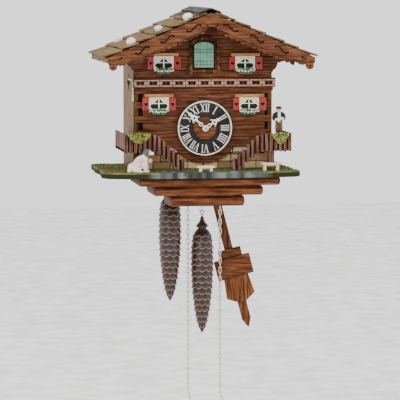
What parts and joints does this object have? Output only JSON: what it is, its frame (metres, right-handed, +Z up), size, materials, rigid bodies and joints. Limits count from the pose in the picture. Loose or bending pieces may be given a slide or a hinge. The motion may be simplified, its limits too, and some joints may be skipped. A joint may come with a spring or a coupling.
{
  "type": "cuckoo clock",
  "caption": "Chalet-shaped wall clock with a log front, shingled roof, dial and hands, cuckoo door, pendulum, cone weights on chains, and a carved dog, man and benches.",
  "frame": {"origin": "centre of the hanging hole in the back panel, on the wall plane", "axes": "+Z up, +Y into the wall, the dial faces -Y, +X to the viewer's right"},
  "size_m": [0.216, 0.132, 0.4971],
  "materials": {
    "brown_wood": "satin",
    "tan_wood": "satin",
    "dark_wood": "satin",
    "green_board": "matte",
    "grey_stone": "matte",
    "cream_paint": "satin",
    "red_paint": "satin",
    "mint_paint": "satin",
    "moss": "matte",
    "cream_plastic": "matte",
    "brass": "polished",
    "steel": "satin",
    "cast_cone": "satin"
  },
  "bodies": {
    "case": {"facade": "brown_wood", "side_wall_left": "tan_wood", "side_wall_right": "tan_wood", "back_panel": "tan_wood", "base_board": "green_board", "foot_logs": "brown_wood", "stone_wall": "grey_stone", "roof_boards": "dark_wood", "bargeboards": "brown_wood", "scalloped_trim": "brown_wood", "shingles_left": "dark_wood", "shingles_right": "dark_wood", "ridge_boards": "dark_wood", "roof_stones": "grey_stone", "decor_band": "tan_wood", "door_frame": "brown_wood", "windows": "cream_paint", "shutters": "red_paint", "flower_boxes": "red_paint", "balcony_left": "brown_wood", "balcony_right": "brown_wood", "moss": "moss", "benches": "cream_paint", "dog_figure": "cream_paint", "man_figure": "cream_paint", "dial": "dark_wood", "hanger_plate": "brass", "brass_fixings": "brass", "movement_plates": "brass", "movement_pillars": "brass", "bellows": "tan_wood", "gong": "steel"},
    "minute_hand": {"minute_hand": "cream_plastic", "center_wheel": "brass"},
    "hour_hand": {"hour_hand": "cream_plastic"},
    "time_great_wheel": {"time_great_wheel": "brass"},
    "third_wheel": {"third_wheel": "brass"},
    "escape_wheel": {"escape_wheel": "brass"},
    "time_chain_wheel": {"time_chain_wheel": "brass"},
    "call_chain_wheel": {"call_chain_wheel": "brass"},
    "anchor": {"anchor": "steel"},
    "pendulum": {"pendulum_rod": "brown_wood"},
    "pendulum_bob": {"pendulum_bob": "brown_wood"},
    "time_weight": {"time_weight": "cast_cone", "time_weight_chain": "brass"},
    "call_weight": {"call_weight": "cast_cone", "call_weight_chain": "brass"},
    "time_free_end": {"time_free_chain": "brass", "time_chain_hank": "brass", "time_chain_ring": "brass"},
    "call_free_end": {"call_free_chain": "brass", "call_chain_hank": "brass", "call_chain_ring": "brass"},
    "cuckoo_door": {"cuckoo_door": "mint_paint"},
    "cuckoo_bird": {"cuckoo_bird": "mint_paint"},
    "left_bellows_lid": {"left_bellows_lid": "tan_wood"},
    "right_bellows_lid": {"right_bellows_lid": "tan_wood"},
    "gong_hammer": {"gong_hammer": "steel"},
    "shut_off_lever": {"shut_off_lever": "steel"}
  },
  "joints": [
    {"name": "minute_hand_turn", "type": "hinge", "parent": "case", "child": "minute_hand", "pos_m": [0, -0.0825, -0.0865], "axis": [0, 1, 0], "continuous": true},
    {"name": "hour_hand_turn", "type": "hinge", "parent": "case", "child": "hour_hand", "pos_m": [0, -0.0825, -0.0865], "axis": [0, 1, 0], "continuous": true},
    {"name": "great_wheel_turn", "type": "hinge", "parent": "case", "child": "time_great_wheel", "pos_m": [0.0142, -0.0485, -0.104], "axis": [0, 1, 0], "continuous": true},
    {"name": "third_wheel_turn", "type": "hinge", "parent": "case", "child": "third_wheel", "pos_m": [0.01297, -0.06, -0.07114], "axis": [0, 1, 0], "continuous": true},
    {"name": "escape_wheel_turn", "type": "hinge", "parent": "case", "child": "escape_wheel", "pos_m": [0, -0.045, -0.06], "axis": [0, 1, 0], "continuous": true},
    {"name": "pendulum_swing", "type": "hinge", "parent": "case", "child": "pendulum", "pos_m": [0, -0.02, -0.076], "axis": [0, 1, 0], "range_deg": [0, 28.94]},
    {"name": "anchor_rock", "type": "hinge", "parent": "case", "child": "anchor", "pos_m": [0, -0.02, -0.076], "axis": [0, 1, 0], "range_deg": [0, 28.94]},
    {"name": "bob_height", "type": "slide", "parent": "pendulum", "child": "pendulum_bob", "axis": [0.2499, 0, -0.9683], "range_m": [-0.012, 0.015]},
    {"name": "time_weight_drop", "type": "slide", "parent": "case", "child": "time_weight", "axis": [0, 0, -1], "range_m": [0, 0.038], "deforming": ["time_weight_chain"]},
    {"name": "time_free_end_rise", "type": "slide", "parent": "case", "child": "time_free_end", "axis": [0, 0, 1], "range_m": [0, 0.038], "deforming": ["time_free_chain"]},
    {"name": "time_chain_wheel_turn", "type": "hinge", "parent": "case", "child": "time_chain_wheel", "pos_m": [0.0142, -0.042, -0.104], "axis": [0, -1, 0], "range_deg": [0, 232.5]},
    {"name": "call_weight_drop", "type": "slide", "parent": "case", "child": "call_weight", "axis": [0, 0, -1], "range_m": [0, 0.038], "deforming": ["call_weight_chain"]},
    {"name": "call_free_end_rise", "type": "slide", "parent": "case", "child": "call_free_end", "axis": [0, 0, 1], "range_m": [0, 0.038], "deforming": ["call_free_chain"]},
    {"name": "call_chain_wheel_turn", "type": "hinge", "parent": "case", "child": "call_chain_wheel", "pos_m": [-0.0193, -0.042, -0.104], "axis": [0, -1, 0], "range_deg": [0, 232.5]},
    {"name": "cuckoo_slide", "type": "slide", "parent": "case", "child": "cuckoo_bird", "axis": [0, -1, 0], "range_m": [0, 0.032]},
    {"name": "cuckoo_door_swing", "type": "hinge", "parent": "case", "child": "cuckoo_door", "pos_m": [-0.0101, -0.0823, -0.016], "axis": [0, 0, -1], "range_deg": [0, 79]},
    {"name": "left_bellows_lift", "type": "hinge", "parent": "case", "child": "left_bellows_lid", "pos_m": [-0.052, -0.032, -0.044], "axis": [-1, 0, 0], "range_deg": [0, 15]},
    {"name": "right_bellows_lift", "type": "hinge", "parent": "case", "child": "right_bellows_lid", "pos_m": [0.052, -0.032, -0.044], "axis": [-1, 0, 0], "range_deg": [0, 15]},
    {"name": "hammer_strike", "type": "hinge", "parent": "case", "child": "gong_hammer", "pos_m": [0.02, -0.04, -0.044], "axis": [0, -1, 0], "range_deg": [0, 9]},
    {"name": "shut_off_lift", "type": "hinge", "parent": "case", "child": "shut_off_lever", "pos_m": [-0.072, -0.05, -0.038], "axis": [-1, 0, 0], "range_deg": [0, 8]}
  ],
  "couplings": [
    {"joint": "hour_hand_turn", "follows": "minute_hand_turn", "ratio": 0.083333},
    {"joint": "great_wheel_turn", "follows": "minute_hand_turn", "ratio": -0.75},
    {"joint": "third_wheel_turn", "follows": "minute_hand_turn", "ratio": -10},
    {"joint": "escape_wheel_turn", "follows": "minute_hand_turn", "ratio": 126.67},
    {"joint": "anchor_rock", "follows": "pendulum_swing", "ratio": 1},
    {"joint": "time_free_end_rise", "follows": "time_weight_drop", "ratio": 1},
    {"joint": "time_chain_wheel_turn", "follows": "time_weight_drop", "rad_per_m": 106.38},
    {"joint": "call_free_end_rise", "follows": "call_weight_drop", "ratio": 1},
    {"joint": "call_chain_wheel_turn", "follows": "call_weight_drop", "rad_per_m": 106.38},
    {"joint": "cuckoo_door_swing", "follows": "cuckoo_slide", "rad_per_m": 43}
  ]
}
